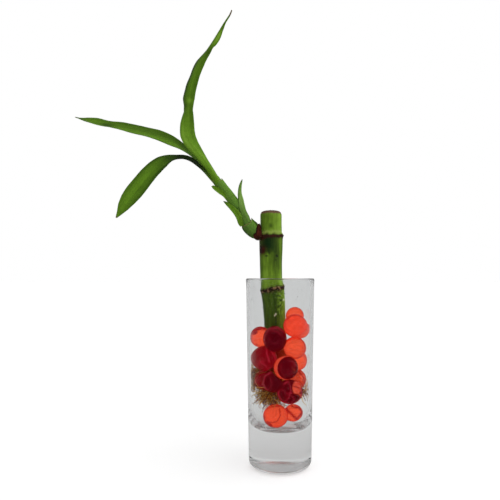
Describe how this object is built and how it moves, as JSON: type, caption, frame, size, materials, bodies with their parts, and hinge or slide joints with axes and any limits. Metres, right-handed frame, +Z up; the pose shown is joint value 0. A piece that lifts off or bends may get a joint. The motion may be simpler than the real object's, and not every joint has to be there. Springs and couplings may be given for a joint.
{
  "type": "lucky bamboo in a glass",
  "caption": "Cut lucky bamboo cane with a leafy side shoot, standing among red gel beads in a tall thick-based glass.",
  "frame": {"origin": "centre of the glass's flat foot, on the surface that it stands on", "axes": "+Z up along the glass, +X to the plant's right and -Y towards the side where the three leaves show best"},
  "size_m": [0.14, 0.0386, 0.2568],
  "materials": {
    "glass": "clear, with a few dried water specks",
    "cane": "satin green bark with darker streaks and brown rings",
    "shoot": "satin",
    "red_scale": "dry, dark red",
    "leaf_light": "satin",
    "leaf_dark": "satin",
    "roots": "wet and fibrous",
    "gel": "clear wet gel"
  },
  "bodies": {
    "root": {"glass": "glass", "cane": "cane", "shoot": "shoot", "red_scale": "red_scale", "leaf_spear": "leaf_light", "leaf_upright": "leaf_light", "leaf_left": "leaf_dark", "leaf_drooping": "leaf_dark", "roots": "roots", "bead_01": "gel", "bead_02": "gel", "bead_03": "gel", "bead_04": "gel", "bead_05": "gel", "bead_06": "gel", "bead_07": "gel", "bead_08": "gel", "bead_09": "gel", "bead_10": "gel", "bead_11": "gel", "bead_12": "gel", "bead_13": "gel", "bead_14": "gel", "bead_15": "gel"}
  },
  "joints": []
}
